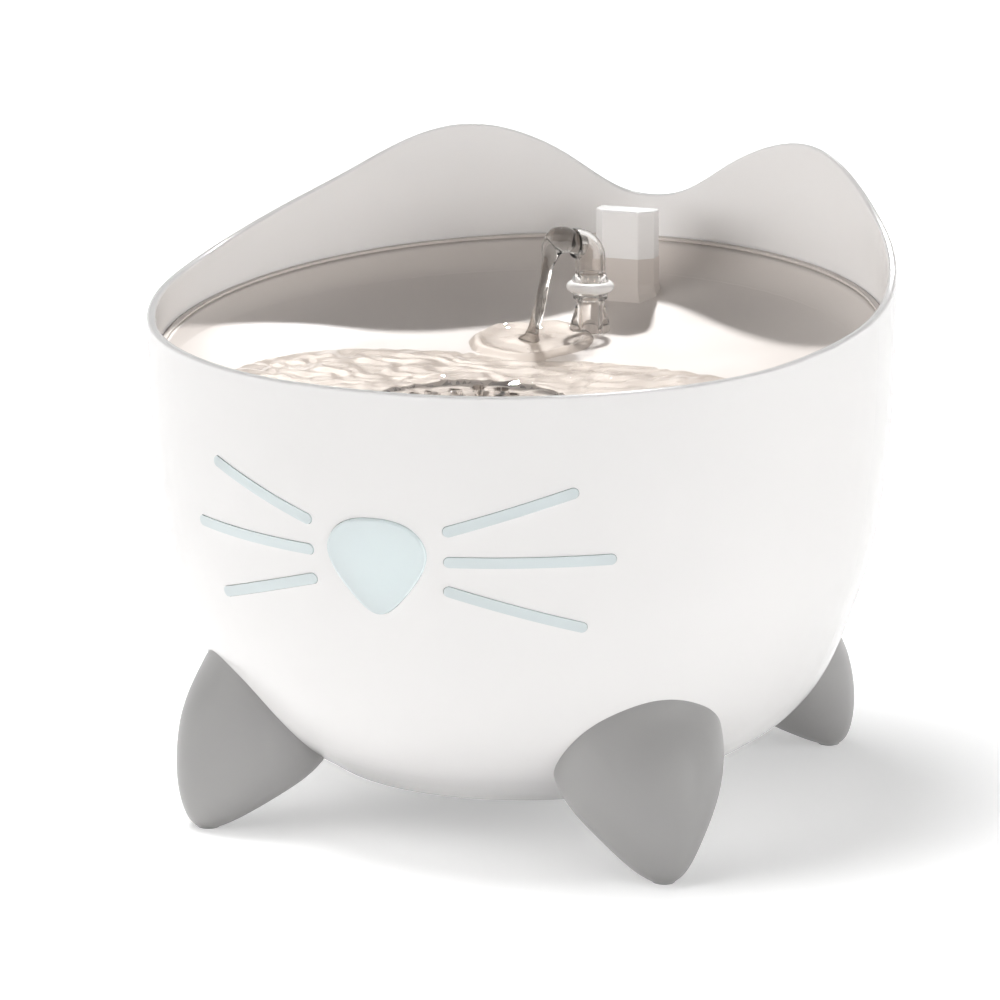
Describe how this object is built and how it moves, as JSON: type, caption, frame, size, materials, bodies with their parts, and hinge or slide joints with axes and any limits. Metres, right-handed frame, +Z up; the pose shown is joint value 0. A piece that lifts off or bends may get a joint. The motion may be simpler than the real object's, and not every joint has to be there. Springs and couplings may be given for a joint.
{
  "type": "pet water fountain",
  "caption": "Round white pet water fountain on grey feet, with ears on its rim, a sloping drinking tray, a swivelling clear spout, nose and whisker windows, and a pump inside.",
  "frame": {"origin": "on the floor under the reservoir's axis", "axes": "+Z up, -Y towards the nose and whiskers, +X to the right seen from the front"},
  "size_m": [0.244, 0.244, 0.2069],
  "materials": {
    "shell_white": "gloss",
    "tray_white": "gloss",
    "foot_grey": "satin",
    "window_clear": "clear, pale blue",
    "spout_clear": "clear",
    "tube_clear": "clear",
    "collar_white": "gloss",
    "rubber_grey": "matte",
    "rubber_black": "matte",
    "steel": "plain",
    "pump_black": "matte",
    "circuit_green": "satin",
    "cable_black": "satin",
    "shaft_ceramic": "polished",
    "carbon_black": "granular",
    "foam_white": "open foam",
    "impeller_white": "satin",
    "magnet_grey": "satin"
  },
  "bodies": {
    "reservoir": {"reservoir_shell": "shell_white", "whisker_window_left": "window_clear", "whisker_window_right": "window_clear", "whisker_seal_left": "rubber_grey", "whisker_seal_right": "rubber_grey", "nose_lens": "window_clear", "nose_seal": "rubber_grey", "nose_lamp_cover": "shell_white", "nose_lamp_board": "circuit_green", "lamp_lead": "cable_black", "foot_front_left": "foot_grey", "foot_front_right": "foot_grey", "foot_rear_left": "foot_grey", "foot_rear_right": "foot_grey", "foot_pads": "rubber_grey", "foot_screws": "steel", "base_cover": "foot_grey", "base_cover_screws": "steel", "power_socket": "pump_black", "control_board": "circuit_green", "lead_grommets": "rubber_black", "pump_lead": "cable_black", "pump_housing": "pump_black", "impeller_cover": "pump_black", "intake_grille": "pump_black", "rotor_shaft": "shaft_ceramic", "rotor_bushes": "rubber_black", "pump_suction_cups": "rubber_black", "riser_tube": "tube_clear"},
    "tray": {"drinking_tray": "tray_white", "tray_gasket": "rubber_grey", "riser_seal": "rubber_grey", "filter_basket": "tray_white", "spout_stem": "spout_clear"},
    "spout": {"spout_elbow": "spout_clear", "spout_collar": "collar_white"},
    "grip_top": {"grip_cap": "shell_white"},
    "filter": {"filter_frame": "tray_white", "filter_carbon": "carbon_black", "filter_foam": "foam_white", "filter_grille": "tray_white"},
    "rotor": {"impeller": "impeller_white", "rotor_magnet": "magnet_grey"},
    "flow_regulator": {"flow_dial": "pump_black"}
  },
  "joints": [
    {"name": "tray_lift", "type": "slide", "parent": "reservoir", "child": "tray", "axis": [0, 0, 1], "range_m": [0, 0.06]},
    {"name": "spout_swivel", "type": "hinge", "parent": "tray", "child": "spout", "pos_m": [0, 0.062, 0.16], "axis": [0, 0, 1], "range_deg": [-23, 97]},
    {"name": "grip_cap_lift", "type": "slide", "parent": "tray", "child": "grip_top", "axis": [0, 0, 1], "range_m": [0, 0.012]},
    {"name": "filter_lift", "type": "slide", "parent": "tray", "child": "filter", "axis": [0, 0, 1], "range_m": [0, 0.045]},
    {"name": "impeller_spin", "type": "hinge", "parent": "reservoir", "child": "rotor", "pos_m": [0, 0.05, 0.041], "axis": [0, 1, 0], "continuous": true},
    {"name": "flow_dial_turn", "type": "hinge", "parent": "reservoir", "child": "flow_regulator", "pos_m": [0, 0.0788, 0.041], "axis": [0, 1, 0], "range_deg": [-45, 45]}
  ]
}
